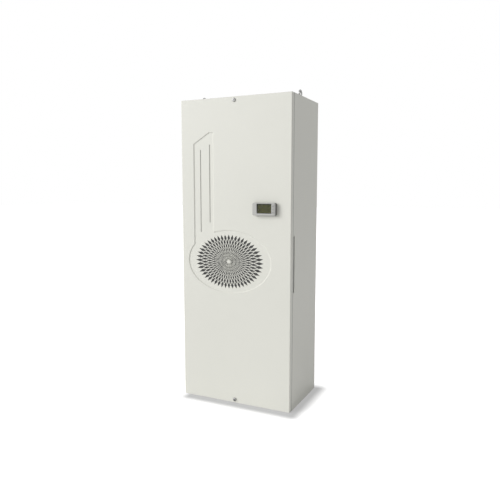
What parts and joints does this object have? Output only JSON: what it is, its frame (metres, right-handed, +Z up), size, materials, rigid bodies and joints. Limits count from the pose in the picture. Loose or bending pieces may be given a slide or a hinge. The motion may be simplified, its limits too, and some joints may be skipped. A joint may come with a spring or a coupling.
{
  "type": "enclosure air conditioner",
  "caption": "Tall wall-hung cooling unit for an electrical cabinet: sheet casing, pressed front cover with oval air grille and keypad display, compressor, coils and fans inside.",
  "frame": {"origin": "bottom edge of the rear mounting face, half way across", "axes": "+X to the right seen from the front, +Y to the rear, out of the mounting face, +Z up"},
  "size_m": [0.4, 0.26, 1.0433],
  "materials": {
    "casing_paint": "light grey powder coat",
    "zinc_steel": "bright zinc plate",
    "galvanised_sheet": "galvanised sheet",
    "foam": "closed-cell foam",
    "filter_foam": "open-cell filter mat",
    "bezel_plastic": "fine satin moulding",
    "display_window": "tinted window",
    "black_plastic": "satin moulding",
    "circuit_board": "solder mask",
    "display_module": "dark display",
    "key_rubber": "moulded keys",
    "black_enamel": "black enamel",
    "fin_aluminium": "bare fins",
    "fan_aluminium": "pressed sheet",
    "copper": "bare copper",
    "black_rubber": "moulded rubber",
    "tray_plastic": "light grey moulding"
  },
  "bodies": {
    "casing": {"left_side_panel": "casing_paint", "right_side_panel": "casing_paint", "top_panel": "casing_paint", "rear_panel": "casing_paint", "base_pan": "galvanised_sheet", "base_flanges": "galvanised_sheet", "rear_seal": "foam", "weld_nuts": "zinc_steel", "eye_bolts": "zinc_steel", "eye_bolt_nuts": "zinc_steel", "chamber_partition": "galvanised_sheet", "condenser_fan_plate": "galvanised_sheet", "condenser_fan_bracket": "galvanised_sheet", "condenser_fan_motor": "black_enamel", "condenser_shelf": "galvanised_sheet", "condenser_coil": "fin_aluminium", "condenser_end_plates": "galvanised_sheet", "condenser_bends": "copper", "compressor": "black_enamel", "compressor_mounts": "black_rubber", "compressor_bolts": "zinc_steel", "accumulator": "black_enamel", "filter_dryer": "copper", "discharge_pipe": "copper", "liquid_pipe": "copper", "capillary_tube": "copper", "suction_pipe": "copper", "accumulator_pipe": "copper", "evaporator_coil": "fin_aluminium", "evaporator_end_plates": "galvanised_sheet", "evaporator_bends": "copper", "evaporator_baffle": "galvanised_sheet", "evaporator_fan_bracket": "galvanised_sheet", "evaporator_fan_motor": "black_enamel", "intake_ring": "galvanised_sheet", "intake_guard": "black_enamel", "outlet_grille": "black_plastic", "condensate_tray": "tray_plastic", "drain_tube": "tray_plastic", "electrical_box": "galvanised_sheet", "electrical_cover": "galvanised_sheet", "run_capacitor": "fin_aluminium", "terminal_block": "tray_plastic", "cable_grommet": "black_rubber"},
    "cover": {"front_cover": "casing_paint", "filter_mat": "filter_foam", "cover_screws": "zinc_steel", "cover_spacers": "zinc_steel", "controller_bezel": "bezel_plastic", "controller_lens": "display_window", "controller_case": "black_plastic", "controller_gasket": "foam", "controller_board": "circuit_board", "controller_display": "display_module", "controller_clips": "black_plastic"},
    "condenser_fan": {"condenser_fan": "black_plastic"},
    "evaporator_fan": {"evaporator_fan": "fan_aluminium"},
    "key_up": {"key_up": "key_rubber"},
    "key_set": {"key_set": "key_rubber"},
    "key_down": {"key_down": "key_rubber"}
  },
  "joints": [
    {"name": "cover_slide", "type": "slide", "parent": "casing", "child": "cover", "axis": [0, -1, 0], "range_m": [0, 0.15]},
    {"name": "condenser_fan_spin", "type": "hinge", "parent": "casing", "child": "condenser_fan", "pos_m": [-0.022, -0.19, 0.482], "axis": [0, -1, 0], "continuous": true},
    {"name": "evaporator_fan_spin", "type": "hinge", "parent": "casing", "child": "evaporator_fan", "pos_m": [0, -0.04, 0.9], "axis": [0, -1, 0], "continuous": true},
    {"name": "key_up_press", "type": "slide", "parent": "cover", "child": "key_up", "axis": [0, 1, 0], "range_m": [0, 0.0008], "stiffness_N_per_m": 1500},
    {"name": "key_set_press", "type": "slide", "parent": "cover", "child": "key_set", "axis": [0, 1, 0], "range_m": [0, 0.0008], "stiffness_N_per_m": 1500},
    {"name": "key_down_press", "type": "slide", "parent": "cover", "child": "key_down", "axis": [0, 1, 0], "range_m": [0, 0.0008], "stiffness_N_per_m": 1500}
  ]
}
